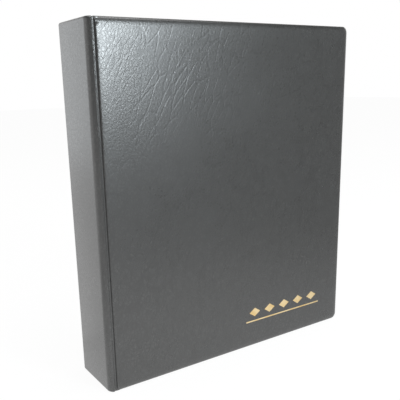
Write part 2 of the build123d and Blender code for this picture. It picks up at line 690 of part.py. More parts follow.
def make_interleaf(number):
    """A black interleaf that lies against the back of its page, with the same holes."""
    y0 = page_y(number) + PAGE_THICKNESS / 2 - INTERLEAF
    hole_x = ring_crossing(page_y(number))
    x0, x1 = hole_x - HOLE_FROM_EDGE, hole_x - HOLE_FROM_EDGE + PAGE_WIDTH - INTERLEAF_INSET
    z0 = MID_Z - PAGE_HEIGHT / 2 + INTERLEAF_INSET
    z1 = MID_Z + PAGE_HEIGHT / 2 - INTERLEAF_INSET
    leaf = sheet(x0, x1, y0, y0 + INTERLEAF, z0, z1, PAGE_CORNER_R - INTERLEAF_INSET)
    for offset in RING_OFFSETS:
        leaf -= hole_prism(hole_x, y0 - FILM, y0 + INTERLEAF + FILM, offset)
    return leaf


def print_axes():
    """The upright and crosswise axes that the moving pieces turn about, and how far they turn."""
    print(f"Covers: upright axes at x {HINGE_X:.2f}, y {HINGE_Y:.2f} and {-HINGE_Y:.2f}")
    print(f"Rails: upright axes at x {PIVOT_X:.2f}, y {-LIP_SPREAD:.2f} and {LIP_SPREAD:.2f}")
    print(f"Pages: upright axis at x {RING_X:.2f}, y 0")
    print(f"Levers: crosswise axes at x {lever_pin_x():.2f}, {PIN_OFFSET:.2f} from mid height")
    print(f"Rails turn {RING_OPEN:.0f} degrees while the levers turn {LEVER_TURN:.0f}")


def main():
    os.makedirs("parts", exist_ok=True)
    print_axes()

    save("spine_board", make_spine_board())
    save("spine_skin", make_spine_skin())
    save("spine_lining", make_spine_lining())

    core = make_front_core()
    front_skin = make_front_skin(core)
    front_lining = make_front_lining()
    plain_skin = front_skin + foil_shapes(FOIL_SINK, FOIL_FIT)
    save("front_board", split_core(core, pad_side=False))
    save("front_pad", split_core(core, pad_side=True))
    save("front_skin", front_skin)
    save("front_lining", front_lining)
    save("front_foil_mark", make_foil_mark())
    save("back_board", to_back(split_core(core, pad_side=False)))
    save("back_pad", to_back(split_core(core, pad_side=True)))
    save("back_skin", to_back(plain_skin))
    save("back_lining", to_back(front_lining))

    save("ring_housing", make_housing())
    front_rail = make_front_rail()
    save("front_rail", front_rail)
    save("back_rail", to_back(front_rail))
    for number, offset in enumerate(reversed(RING_OFFSETS), start=1):
        save(f"front_half_ring_{number}", make_front_half_ring(offset))
        save(f"back_half_ring_{number}", make_back_half_ring(offset))
    top_lever = make_top_lever()
    save("top_lever", top_lever)
    save("bottom_lever", to_bottom(top_lever))
    save("lever_pins", *make_lever_pins())
    save("mount_rivets", *make_rivets())
    save("rivet_collars", *make_collars())

    for number in range(2 * PAGES_EACH_SIDE):
        save(f"page_{number + 1:02d}", make_page(number))
        save(f"interleaf_{number + 1:02d}", make_interleaf(number))


main()
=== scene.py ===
import math
import bmesh
import bpy
from mathutils import Matrix, Vector


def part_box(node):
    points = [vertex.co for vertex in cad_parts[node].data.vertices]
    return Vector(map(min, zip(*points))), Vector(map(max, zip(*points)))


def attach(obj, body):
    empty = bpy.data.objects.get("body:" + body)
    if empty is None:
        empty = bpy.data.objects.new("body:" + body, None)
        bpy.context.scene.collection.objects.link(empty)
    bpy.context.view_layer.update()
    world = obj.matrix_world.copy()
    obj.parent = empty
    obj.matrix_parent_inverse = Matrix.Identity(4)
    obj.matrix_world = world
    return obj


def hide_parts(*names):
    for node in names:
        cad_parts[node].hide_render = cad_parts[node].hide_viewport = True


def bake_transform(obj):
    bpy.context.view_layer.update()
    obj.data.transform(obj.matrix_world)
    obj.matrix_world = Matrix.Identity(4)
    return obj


# Looks of a banknote album: leatherette covers over foam, hinge strips, linings, ring mechanism
# and pages. Metres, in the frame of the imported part: the spine faces -X, the front cover -Y, and
# +Z is up.

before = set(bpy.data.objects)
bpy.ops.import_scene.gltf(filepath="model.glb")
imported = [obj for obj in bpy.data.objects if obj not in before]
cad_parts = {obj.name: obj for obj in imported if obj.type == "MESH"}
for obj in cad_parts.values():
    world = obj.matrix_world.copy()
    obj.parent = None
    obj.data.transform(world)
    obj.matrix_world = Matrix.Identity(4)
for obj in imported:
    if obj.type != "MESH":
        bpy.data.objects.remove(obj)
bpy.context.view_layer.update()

MM = 0.001
METAL_NODES = ("ring_housing", "front_rail", "back_rail", "top_lever", "bottom_lever")
PIN_NODES = ("lever_pins", "mount_rivets", "rivet_collars")
BOARD_NODES = ("front_board", "back_board", "spine_board")
RINGS = 4
PAGES = 10

# Degrees between two faces above which their edge stays sharp
SHARP_ANGLE = 40

# Lengths that count as none: between places, between corners that are welded, and for a cut
NEAR = 0.01 * MM
WELD = 0.001 * MM
CUT_REACH = 0.0001 * MM

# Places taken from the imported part
HINGE_X, FRONT_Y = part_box("front_skin")[0].x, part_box("front_skin")[0].y
FORE_X, TURN_IN_Y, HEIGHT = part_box("front_skin")[1]
SPINE_X, SPINE_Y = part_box("spine_skin")[0].x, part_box("spine_skin")[0].y
SPINE_INNER_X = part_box("spine_board")[1].x
SPINE_FACE_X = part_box("ring_housing")[0].x
COVER_EDGE_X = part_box("front_board")[0].x
LINING_LOW, LINING_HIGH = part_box("front_lining")

# Covers and linings
SKIN = 0.8 * MM
LINING = 0.4 * MM
STRIP_Y = LINING_LOW.y - SKIN
COVER_CORNER = 5 * MM
COVER_CORNER_STEPS = 8
COVER_CELL = 4 * MM
RIM_WIDTH = 7 * MM
RIM_DEPTH = 2.9 * MM
RIM_STEPS = 12
RIM_CUT = 9.5 * MM
RISE_WIDTH = 1.0 * MM
RISE_LAP = 0.8 * MM
RISE_CUTS = (4 * MM, 8 * MM)
TURN_IN_WIDTH = 12 * MM
TURN_IN_ROUND = 0.6 * MM
TURN_IN_STEPS = 3
SWELL = 0.3 * MM
SWELL_PRESSURE = 4
SWELL_MASS = 0.3
SWELL_FRAMES = 20
LINING_CORNER = 3 * MM
LINING_CORNER_STEPS = 5
LINING_RIM_STEPS = 2

# Spine and hinge strips
SPINE_CORNER = 5.8 * MM
SPINE_CORNER_STEPS = 12
SPINE_END_ROUND = 1.9 * MM
SPINE_END_STEPS = 6
SPINE_SHOULDER = 0.4 * MM
SPINE_SHOULDER_STEPS = 5
STRIP_START = 2.1 * MM
STRIP_TUCK = 1.5 * MM
STRIP_SHORT = 0.5 * MM
STRIP_HOLLOW = 0.35 * MM
STRIP_CELLS = 10
STRIP_CELL_HEIGHT = 20 * MM
STRIP_END_CELL = 2 * MM
STRIP_ROUND_SHARE = 0.4
STRIP_ROUND_STEPS = 3

# Foil recess in the front cover
FOIL_FIT = 0.05 * MM
FOIL_CUTTER = 2 * MM
SHORTEST_RULE = 20 * MM

# Pages
FILM = 0.2 * MM
PAGE_CORNER = 4 * MM
PAGE_CORNER_STEPS = 4
PAGE_CELL = 12 * MM
POCKETS = 3
SEAM = 2.5 * MM
POCKET_MOUTH = 4 * MM
BINDING_MARGIN = 15 * MM
HOLE_FROM_EDGE = 7 * MM
HOLE_WIDTH = 8 * MM
HOLE_HEIGHT = 4.4 * MM
HOLE_REST = 0.05 * MM
HOLE_SIDES = 24
HOLE_CUTTER = 10 * MM
POCKET_BULGE = 0.22 * MM
POCKET_FLATNESS = 6
PAGE_WAVE = 0.22 * MM
PAGE_WAVE_LENGTH = 90 * MM
PAGE_WAVE_STRETCH = 1.7
PAGE_WAVE_REACH = 80 * MM
PAGE_PHASE = 2.1
PAGE_PHASE_ACROSS = 0.7

# Lean of the leatherette's cells and creases, in degrees
PEBBLE_LEAN = 25
CREASE_LEAN = 28


# Node building
class Signal:
    """A socket of a node tree, whose arithmetic adds Math nodes."""

    def __init__(self, nodes, socket):
        self.nodes = nodes
        self.socket = socket

    def math(self, operation, other):
        """A Math node with this socket first, and then another socket or a number."""
        sockets = {"Value": self, "Value_001": other}
        return self.nodes.node("ShaderNodeMath", {"operation": operation}, sockets, "Value")

    def __add__(self, other):
        return self.math("ADD", other)

    def __mul__(self, other):
        return self.math("MULTIPLY", other)

    def __rsub__(self, other):
        return self.nodes.number(other).math("SUBTRACT", self)

    __radd__ = __add__

    def spread(self, low, high, new_low=0.0, new_high=1.0):
        """The values from low to high moved smoothly to a new range, and kept inside it."""
        settings = {"interpolation_type": "SMOOTHSTEP"}
        sockets = {
            "Value": self,
            "From Min": low,
            "From Max": high,
            "To Min": new_low,
            "To Max": new_high,
        }
        return self.nodes.node("ShaderNodeMapRange", settings, sockets, "Result")


class Nodes:
    """The node tree of a material or of the surroundings."""

    def __init__(self, tree):
        self.tree = tree

    def link(self, signal, socket):
        """Joins a signal to a socket of a node that is already there."""
        self.tree.links.new(signal.socket, socket)

    def node(self, kind, settings, sockets, output):
        """One node: its settings first, then the values or links of its sockets, by identifier."""
        made = self.tree.nodes.new(kind)
        for name, value in settings.items():
            setattr(made, name, value)
        by_identifier = {socket.identifier: socket for socket in made.inputs}
        for name, value in sockets.items():
            if isinstance(value, Signal):
                self.tree.links.new(value.socket, by_identifier[name])
            else:
                by_identifier[name].default_value = value
        found = [socket for socket in made.outputs if socket.identifier == output]
        return Signal(self, found[0])

    def number(self, value):
        """A number as a socket, from which a signal can be taken away."""
        sockets = {"Value": value, "Value_001": 0.0}
        return self.node("ShaderNodeMath", {"operation": "ADD"}, sockets, "Value")

    def vector_math(self, operation, sockets, output="Vector"):
        """A Vector Math node."""
        return self.node("ShaderNodeVectorMath", {"operation": operation}, sockets, output)


class Finish(Nodes):
    """A procedural material. Sockets that stay the same are set on the shader itself."""

    def __init__(self, name, **constants):
        self.material = bpy.data.materials.new(name)
        self.material.use_nodes = True
        super().__init__(self.material.node_tree)
        self.shader = self.tree.nodes["Principled BSDF"]
        for socket, value in constants.items():
            self.shader.inputs[socket.replace("_", " ")].default_value = value

    def place(self, stretch=(1, 1, 1), turn=(0, 0, 0)):
        """Object coordinates in millimetres, for a pattern that is stretched and then turned."""
        here = self.node("ShaderNodeTexCoord", {}, {}, "Object")
        sockets = {"Vector": here, "Rotation": turn, "Scale": [MM * size for size in stretch]}
        return self.node("ShaderNodeMapping", {"vector_type": "TEXTURE"}, sockets, "Vector")

    def noise(self, place, size, detail=2.0, roughness=0.5, output="Fac"):
        """Soft noise with features of about size millimetres."""
        sockets = {"Vector": place, "Scale": 1 / size, "Detail": detail, "Roughness": roughness}
        return self.node("ShaderNodeTexNoise", {}, sockets, output)

    def cells(self, place, size, feature):
        """Cells of about size millimetres."""
        sockets = {"Vector": place, "Scale": 1 / size}
        return self.node("ShaderNodeTexVoronoi", {"feature": feature}, sockets, "Distance")

    def drifted(self, place, size, amount):
        """A place pushed about by noise, by up to half of amount millimetres."""
        push = self.noise(place, size, output="Color")
        centred = self.vector_math("SUBTRACT", {"Vector": push, "Vector_001": (0.5, 0.5, 0.5)})
        scaled = self.vector_math("SCALE", {"Vector": centred, "Scale": amount})
        return self.vector_math("ADD", {"Vector": place, "Vector_001": scaled})

    def blend(self, share, first, second):
        """A colour from first, where share is 0, to second, where it is 1."""
        sockets = {"Factor_Float": share, "A_Color": first, "B_Color": second}
        return self.node("ShaderNodeMix", {"data_type": "RGBA"}, sockets, "Result_Color")

    def relief(self, height, depth):
        """A normal from a height of 0 to 1 that stands for depth millimetres."""
        sockets = {"Height": height, "Distance": depth * MM, "Strength": 1.0}
        return self.node("ShaderNodeBump", {}, sockets, "Normal")

    def feed(self, **signals):
        """Links what changes over the surface to the shader."""
        for name, signal in signals.items():
            self.link(signal, self.shader.inputs[name.replace("_", " ")])
        return self.material


def grey(level, tint=(1.0, 1.0, 1.0)):
    """A colour from one level and a tint."""
    return (level * tint[0], level * tint[1], level * tint[2], 1.0)


# Finishes
def leatherette(name, grain, gloss):
    """Satin black-grey leatherette: pebbled cells drawn out upwards, under leaning creases."""
    finish = Finish(name, Specular_IOR_Level=1.0, Coat_Roughness=0.3)
    place = finish.place()
    bent = finish.drifted(place, size=14.0, amount=5.0)
    tall = finish.place(stretch=(1.0, 1.0, 1.25), turn=(0, math.radians(PEBBLE_LEAN), 0))
    tall = finish.drifted(tall, size=6.0, amount=3.0)
    pebbles = finish.cells(tall, size=2.3, feature="DISTANCE_TO_EDGE").spread(0.0, 0.32)
    leaning = finish.place(stretch=(1.0, 1.0, 3.4), turn=(0, math.radians(CREASE_LEAN), 0))
    leaning = finish.drifted(leaning, size=11.0, amount=5.0)
    creases = finish.cells(leaning, size=6.5, feature="DISTANCE_TO_EDGE").spread(0.0, 0.09)
    patches = finish.noise(bent, size=38.0, detail=2.0).spread(0.42, 0.62)
    fine = finish.noise(place, size=0.45, detail=3.0, roughness=0.6)
    height = pebbles * 0.5 + (1 - (1 - creases) * (0.25 + patches * 0.75)) * 0.8 + fine * 0.12
    wide = finish.noise(place, size=60.0, detail=1.0).spread(0.3, 0.7)
    # Painted shade: the colour is darker in the grooves between the pebbles and along the creases,
    # and lighter on the raised pebbles
    darker, lighter = grey(0.020, (1.0, 1.0, 0.96)), grey(0.034, (0.99, 1.0, 0.96))
    colour = finish.blend(pebbles * creases, darker, lighter)
    return finish.feed(
        Base_Color=colour,
        Roughness=0.25 + (1 - pebbles) * 0.06 + wide * 0.03,
        Coat_Weight=gloss + pebbles * 0.10,
        Normal=finish.relief(height, grain),
    )


def lining_paper():
    """Black lining with a fine embossed linen."""
    finish = Finish("lining", Specular_IOR_Level=0.4)
    place = finish.place()
    across = finish.noise(finish.place(stretch=(14.0, 14.0, 0.5)), size=1.0, detail=1.0)
    upright = finish.noise(finish.place(stretch=(0.5, 0.5, 14.0)), size=1.0, detail=1.0)
    weave = across * 0.5 + upright * 0.5
    cloudy = finish.noise(place, size=30.0, detail=2.0)
    colour = finish.blend(weave.spread(0.3, 0.7), grey(0.012), grey(0.030, (1.0, 1.0, 1.04)))
    return finish.feed(
        Base_Color=colour, Roughness=0.55 + cloudy * 0.15, Normal=finish.relief(weave, depth=0.09)
    )


def greyboard():
    """Grey bookbinding board with flecks and fibres."""
    finish = Finish("greyboard", Specular_IOR_Level=0.2)
    place = finish.place()
    bent = finish.drifted(place, size=3.0, amount=2.0)
    fibres = finish.noise(bent, size=0.7, detail=4.0, roughness=0.7)
    darker, lighter = grey(0.20, (1, 0.96, 0.9)), grey(0.33, (1, 0.97, 0.92))
    colour = finish.blend(fibres.spread(0.35, 0.65), darker, lighter)
    return finish.feed(
        Base_Color=colour, Roughness=0.85 + fibres * 0.1, Normal=finish.relief(fibres, depth=0.05)
    )


def foam():
    """Pale open foam."""
    finish = Finish("foam", Specular_IOR_Level=0.2)
    bubbles = finish.cells(finish.place(), size=0.6, feature="F1").spread(0.1, 0.7)
    colour = finish.blend(bubbles, grey(0.75), grey(0.45))
    return finish.feed(
        Base_Color=colour, Roughness=0.9 + bubbles * 0.05, Normal=finish.relief(bubbles, depth=0.2)
    )


def gold_foil():
    """Stamped gold foil, a little uneven over the grain."""
    finish = Finish("gold_foil", Metallic=1.0)
    place = finish.place()
    grain = finish.noise(place, size=0.8, detail=3.0)
    patches = finish.noise(place, size=7.0, detail=2.0).spread(0.3, 0.7)
    colour = finish.blend(patches, (0.86, 0.62, 0.29, 1.0), (0.95, 0.76, 0.45, 1.0))
    return finish.feed(
        Base_Color=colour, Roughness=0.30 + grain * 0.14, Normal=finish.relief(grain, depth=0.04)
    )


def nickel():
    """Nickel-plated spring steel, with faint draw lines up its length and cloudy gloss."""
    finish = Finish("nickel_steel", Metallic=1.0)
    lines = finish.noise(finish.place(stretch=(0.4, 0.4, 40.0)), size=1.0, detail=2.0)
    cloudy = finish.noise(finish.place(), size=9.0, detail=3.0)
    darker, lighter = grey(0.62, (1.0, 0.985, 0.95)), grey(0.74, (1, 0.99, 0.96))
    colour = finish.blend(cloudy.spread(0.3, 0.7), darker, lighter)
    return finish.feed(
        Base_Color=colour,
        Roughness=0.14 + cloudy * 0.10 + lines * 0.06,
        Normal=finish.relief(lines, depth=0.006),
    )


def clear_film():
    """Clear pocket film with faint ripples."""
    finish = Finish("clear_film", Specular_IOR_Level=0.55)
    place = finish.place()
    bent = finish.drifted(place, size=40.0, amount=20.0)
    ripples = finish.noise(bent, size=22.0, detail=2.0)
    haze = finish.noise(place, size=15.0, detail=3.0)
    colour = finish.blend(haze, grey(0.55, (0.97, 1.0, 1.03)), grey(0.70, (0.97, 1.0, 1.02)))
    return finish.feed(
        Base_Color=colour,
        Alpha=0.10 + haze * 0.08,
        Roughness=0.07 + haze * 0.08,
        Normal=finish.relief(ripples, depth=0.35),
    )


def black_paper():
    """Matt black interleaf paper."""
    finish = Finish("black_paper", Specular_IOR_Level=0.3)
    place = finish.place()
    bent = finish.drifted(place, size=2.0, amount=1.5)
    fibres = finish.noise(bent, size=0.5, detail=4.0, roughness=0.65)
    colour = finish.blend(fibres.spread(0.35, 0.65), grey(0.010), grey(0.020))
    return finish.feed(
        Base_Color=colour, Roughness=0.7 + fibres * 0.15, Normal=finish.relief(fibres, depth=0.03)
    )


# Mesh building
def block(low, high):
    """A block between two corners."""
    bm = bmesh.new()
    bmesh.ops.create_cube(bm, size=1.0)
    bmesh.ops.scale(bm, vec=Vector(high) - Vector(low), verts=bm.verts)
    bmesh.ops.translate(bm, vec=(Vector(low) + Vector(high)) / 2, verts=bm.verts)
    return bm


def edges_where(bm, test):
    """The edges whose two ends pass a test."""
    return [edge for edge in bm.edges if test(edge.verts[0].co, edge.verts[1].co)]


def near(first, second):
    """True where two places are the same to a hundredth of a millimetre."""
    return abs(first - second) < NEAR


def edges_along(bm, axis, x=None):
    """The edges along one axis: all of them, or those at a given x."""
    def runs_there(a, b):
        if near(a[axis], b[axis]):
            return False
        return x is None or near(a.x, x) and near(b.x, x)
    return edges_where(bm, runs_there)


def bevel(bm, edges, width, segments):
    """Rounds edges."""
    bmesh.ops.bevel(
        bm, geom=edges, offset=width, segments=segments, profile=0.5, material=-1, affect="EDGES"
    )


def cut_across(bm, axis, places):
    """Cuts the mesh with planes at right angles to an axis."""
    for place in places:
        at, across = Vector(), Vector()
        at[axis] = place
        across[axis] = 1
        everything = bm.verts[:] + bm.edges[:] + bm.faces[:]
        bmesh.ops.bisect_plane(bm, geom=everything, dist=CUT_REACH, plane_co=at, plane_no=across)


def cut_off(bm, place, direction):
    """Cuts away what lies beyond a plane, and closes the cut."""
    everything = bm.verts[:] + bm.edges[:] + bm.faces[:]
    cut = bmesh.ops.bisect_plane(
        bm, geom=everything, plane_co=place, plane_no=direction, clear_outer=True
    )
    rim = [item for item in cut["geom_cut"] if isinstance(item, bmesh.types.BMEdge)]
    bmesh.ops.edgeloop_fill(bm, edges=rim)


def join_into(bm, part):
    """Adds one bmesh to another, and frees it."""
    mesh = bpy.data.meshes.new("part")
    part.to_mesh(mesh)
    part.free()
    bm.from_mesh(mesh)
    bpy.data.meshes.remove(mesh)


def steps(low, high, cell):
    """Places that divide a length into cells."""
    count = max(2, round((high - low) / cell))
    return [low + (high - low) * number / count for number in range(1, count)]


def to_back(bm):
    """Turns a front piece into its mirror image behind."""
    bmesh.ops.scale(bm, vec=(1, -1, 1), verts=bm.verts)
    bmesh.ops.remove_doubles(bm, verts=bm.verts, dist=WELD)
    bmesh.ops.recalc_face_normals(bm, faces=bm.faces)
    return bm


def smooth(mesh):
    """Shades a mesh smooth but for its sharp edges."""
    mesh.shade_smooth()
    mesh.set_sharp_from_angle(angle=math.radians(SHARP_ANGLE))


def add_object(name, data):
    """A new object in the scene."""
    made = bpy.data.objects.new(name, data)
    bpy.context.scene.collection.objects.link(made)
    return made


def make_piece(bm, name, material):
    """An object of the album from a bmesh, smooth but for its sharp edges."""
    mesh = bpy.data.meshes.new(name)
    bm.to_mesh(mesh)
    bm.free()
    mesh.materials.append(material)
    smooth(mesh)
    piece = add_object(name, mesh)
    return piece


def settle_modifiers(piece):
    """Makes what the modifiers show the piece's own mesh."""
    shown = piece.evaluated_get(bpy.context.evaluated_depsgraph_get())
    mesh = bpy.data.meshes.new_from_object(shown)
    piece.modifiers.clear()
    piece.data = mesh
    smooth(mesh)


def thicken(piece, thickness):
    """Gives a shell its wall, inwards."""
    wall = piece.modifiers.new("wall", "SOLIDIFY")
    wall.thickness = thickness
    wall.offset = -1
    wall.use_even_offset = True
    settle_modifiers(piece)


def cut_out(piece, cutters):
    """Cuts shapes out of a piece."""
    mesh = bpy.data.meshes.new("cutter")
    cutters.to_mesh(mesh)
    cutters.free()
    tool = add_object("cutter", mesh)
    cut = piece.modifiers.new("cut", "BOOLEAN")
    cut.operation = "DIFFERENCE"
    cut.solver = "EXACT"
    cut.object = tool
    settle_modifiers(piece)
    bpy.data.objects.remove(tool)


def swell(piece, is_free, reach):
    """Lets the free stretch of a padded face swell under pressure, by no more than reach."""
    rest = [vertex.co.copy() for vertex in piece.data.vertices]
    held = piece.vertex_groups.new(name="held")
    held.add([number for number, at in enumerate(rest) if not is_free(at)], 1.0, "REPLACE")
    cloth = piece.modifiers.new("swelling", "CLOTH")
    cloth.settings.vertex_group_mass = held.name
    cloth.settings.effector_weights.gravity = 0
    cloth.settings.use_pressure = True
    cloth.settings.uniform_pressure_force = SWELL_PRESSURE
    cloth.settings.mass = SWELL_MASS
    for number in range(1, SWELL_FRAMES + 1):
        bpy.context.scene.frame_set(number)
    shown = piece.evaluated_get(bpy.context.evaluated_depsgraph_get())
    moved = [vertex.co.copy() for vertex in shown.to_mesh().vertices]
    shown.to_mesh_clear()
    piece.modifiers.clear()
    piece.vertex_groups.clear()
    bpy.context.scene.frame_set(1)
    for vertex, before, after in zip(piece.data.vertices, rest, moved):
        rise = abs(after.y - before.y)
        vertex.co.y = before.y - reach * math.tanh(rise / reach)


# Covers
def fit_outline(bm, verts, low, high):
    """Moves a flat outline to a depth and fits it between two corners."""
    old_low = Vector(min(vertex.co[axis] for vertex in verts) for axis in range(3))
    old_high = Vector(max(vertex.co[axis] for vertex in verts) for axis in range(3))
    wide = (high.x - low.x) / (old_high.x - old_low.x)
    tall = (high.z - low.z) / (old_high.z - old_low.z)
    bmesh.ops.translate(bm, vec=-old_low, verts=verts)
    bmesh.ops.scale(bm, vec=(wide, 1, tall), verts=verts)
    bmesh.ops.translate(bm, vec=low, verts=verts)


def cover_shell(inset):
    """The padded cover's outer form, set in from the leatherette's outside, with a flat inner
    face. Its rim rounds off wide and shallow on three sides, and short where it rises from the
    hinge strip."""
    face_y = FRONT_Y + SWELL + inset
    rim_y = FRONT_Y + RIM_DEPTH
    low = Vector((COVER_EDGE_X - RISE_LAP + inset, rim_y, inset))
    high = Vector((FORE_X - inset, TURN_IN_Y, HEIGHT - inset))
    bm = block(low, high)
    corners = edges_along(bm, axis=1, x=high.x)
    bevel(bm, corners, COVER_CORNER - inset, COVER_CORNER_STEPS)
    top = [face for face in bm.faces if near(face.calc_center_median().y, rim_y)]
    rise_y = STRIP_Y + inset
    for step in range(1, RIM_STEPS + 1):
        angle = math.radians(90 * step / RIM_STEPS)
        depth = rim_y + (face_y - rim_y) * math.sin(angle)
        set_in = (RIM_WIDTH - inset) * (1 - math.cos(angle))
        up = min(1, max(0, (rise_y - depth) / (rise_y - face_y)))
        rise = RISE_WIDTH * (1 - math.sqrt(1 - up ** 2))
        grown = bmesh.ops.extrude_face_region(bm, geom=top)
        bmesh.ops.delete(bm, geom=top, context="FACES_ONLY")
        top = [item for item in grown["geom"] if isinstance(item, bmesh.types.BMFace)]
        verts = [item for item in grown["geom"] if isinstance(item, bmesh.types.BMVert)]
        corner_low = Vector((low.x + rise, depth, low.z + set_in))
        corner_high = Vector((high.x - set_in, depth, high.z - set_in))
        fit_outline(bm, verts, corner_low, corner_high)
    bmesh.ops.recalc_face_normals(bm, faces=bm.faces)
    return bm


def make_cover_leather(side, material):
    """Leatherette over one padded cover: swollen face, rounded edges, turned in round the board."""
    bm = cover_shell(0)
    inner = edges_where(bm, lambda a, b: near(a.y, TURN_IN_Y) and near(b.y, TURN_IN_Y))
    bevel(bm, inner, TURN_IN_ROUND, TURN_IN_STEPS)
    window_x = (COVER_EDGE_X + TURN_IN_WIDTH, FORE_X - TURN_IN_WIDTH)
    window_z = (TURN_IN_WIDTH, HEIGHT - TURN_IN_WIDTH)
    cut_across(bm, 0, steps(window_x[0], window_x[1], COVER_CELL) + list(window_x))
    cut_across(bm, 2, steps(window_z[0], window_z[1], COVER_CELL) + list(window_z))
    cut_across(bm, 0, [COVER_EDGE_X + cut for cut in RISE_CUTS] + [FORE_X - RIM_CUT])
    cut_across(bm, 2, (RIM_CUT, HEIGHT - RIM_CUT))

    def in_window(face):
        middle = face.calc_center_median()
        inside_x = window_x[0] < middle.x < window_x[1]
        inside_z = window_z[0] < middle.z < window_z[1]
        return near(middle.y, TURN_IN_Y) and inside_x and inside_z

    bmesh.ops.delete(bm, geom=[face for face in bm.faces if in_window(face)], context="FACES")
    piece = make_piece(bm, f"{side}_cover_leather", material)
    swell(piece, lambda at: near(at.y, FRONT_Y + SWELL), SWELL)
    thicken(piece, SKIN)
    if side == "front":
        cut_out(piece, foil_recess())
    else:
        turn_to_back(piece)
    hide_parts(f"{side}_skin")
    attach(piece, f"{side}_cover")


def turn_to_back(piece):
    """Mirrors a finished piece to the back of the album."""
    bm = bmesh.new()
    bm.from_mesh(piece.data)
    to_back(bm).to_mesh(piece.data)
    bm.free()


def make_padding(side, material):
    """Foam between the board and the leatherette."""
    bm = cover_shell(SKIN)
    board_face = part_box("front_board")[0].y
    cut_off(bm, (0, board_face, 0), (0, 1, 0))
    if side == "back":
        to_back(bm)
    piece = make_piece(bm, f"{side}_cover_padding", material)
    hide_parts(f"{side}_pad")
    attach(piece, f"{side}_cover")


def foil_recess():
    """The pressed-in bed of the foil mark: a rule with a row of lozenges over it."""
    bm = bmesh.new()
    source = bmesh.new()
    source.from_mesh(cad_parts["front_foil_mark"].data)
    bmesh.ops.remove_doubles(source, verts=source.verts, dist=WELD)
    for island in loose_parts(source):
        low = Vector(min(vertex.co[axis] for vertex in island) for axis in range(3))
        high = Vector(max(vertex.co[axis] for vertex in island) for axis in range(3))
        is_rule = high.x - low.x > SHORTEST_RULE
        add_foil_bed(bm, low, high, is_rule)
    source.free()
    return bm


def loose_parts(bm):
    """The vertices of each separate part of a mesh."""
    left = set(bm.verts)
    parts = []
    while left:
        waiting = [left.pop()]
        part = set(waiting)
        while waiting:
            vertex = waiting.pop()
            for edge in vertex.link_edges:
                other = edge.other_vert(vertex)
                if other in left:
                    left.discard(other)
                    part.add(other)
                    waiting.append(other)
        parts.append(part)
    return parts


def add_foil_bed(bm, low, high, is_rule):
    """One bed, a little larger than its foil and as deep: a lozenge, or a square for the rule."""
    turned = math.radians(45) if is_rule else 0
    made = bmesh.ops.create_cone(
        bm, cap_ends=True, segments=4, radius1=0.5, radius2=0.5, depth=1.0
    )
    verts = made["verts"]
    bmesh.ops.rotate(bm, verts=verts, matrix=Matrix.Rotation(turned, 3, "Z"))
    bmesh.ops.rotate(bm, verts=verts, matrix=Matrix.Rotation(math.radians(90), 3, "X"))
    diagonal = math.sqrt(2) if is_rule else 1
    wide = (high.x - low.x + 2 * FOIL_FIT) * diagonal
    tall = (high.z - low.z + 2 * FOIL_FIT) * diagonal
    middle = ((low.x + high.x) / 2, high.y - FOIL_CUTTER / 2, (low.z + high.z) / 2)
    bmesh.ops.scale(bm, vec=(wide, FOIL_CUTTER, tall), verts=verts)
    bmesh.ops.translate(bm, vec=middle, verts=verts)


# Spine and hinge strips
def make_spine_leather(material):
    """Leatherette over the spine, a solid block that holds the board in it, with soft corners
    and shoulders that fall to the hinge strips."""
    low = Vector((SPINE_X, SPINE_Y, 0))
    high = Vector((HINGE_X - STRIP_START, -SPINE_Y, HEIGHT))
    bm = block(low, (HINGE_X, high.y, high.z))
    bevel(bm, edges_along(bm, axis=2, x=low.x), SPINE_CORNER, SPINE_CORNER_STEPS)
    cut_off(bm, high, (1, 0, 0))
    bmesh.ops.recalc_face_normals(bm, faces=bm.faces)

    def at_end(a, b):
        return near(a.z, b.z) and (near(a.z, 0) or near(a.z, HEIGHT))

    def at_back(a, b):
        return near(a.x, high.x) and near(b.x, high.x)

    ends = edges_where(bm, lambda a, b: at_end(a, b) and not at_back(a, b))
    bevel(bm, ends, SPINE_END_ROUND, SPINE_END_STEPS)
    shoulders = edges_where(bm, lambda a, b: at_back(a, b) and not at_end(a, b))
    bevel(bm, shoulders, SPINE_SHOULDER, SPINE_SHOULDER_STEPS)
    piece = make_piece(bm, "spine_leather", material)
    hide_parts("spine_skin")
    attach(piece, "spine")


def make_hinge_strip(side, name, material, outer_y, thickness, x_range, z_range):
    """A flexible strip between the spine and one cover, which bends as the cover opens."""
    low = (x_range[0], outer_y, z_range[0])
    high = (x_range[1], outer_y + thickness, z_range[1])
    bm = block(low, high)
    ends = edges_where(bm, lambda a, b: near(a.z, b.z) and near(a.y, b.y))
    bevel(bm, ends, thickness * STRIP_ROUND_SHARE, STRIP_ROUND_STEPS)
    shown = (HINGE_X - STRIP_START, COVER_EDGE_X - RISE_LAP)
    cut_across(bm, 0, steps(shown[0], shown[1], (shown[1] - shown[0]) / STRIP_CELLS) + list(shown))
    bottom, top = z_range[0] + STRIP_END_CELL, z_range[1] - STRIP_END_CELL
    cut_across(bm, 2, steps(bottom, top, STRIP_CELL_HEIGHT))
    for vertex in bm.verts:
        share = min(1, max(0, (vertex.co.x - shown[0]) / (shown[1] - shown[0])))
        vertex.co.y += STRIP_HOLLOW * math.sin(math.pi * share)
    if side == "back":
        to_back(bm)
    return make_piece(bm, name, material)


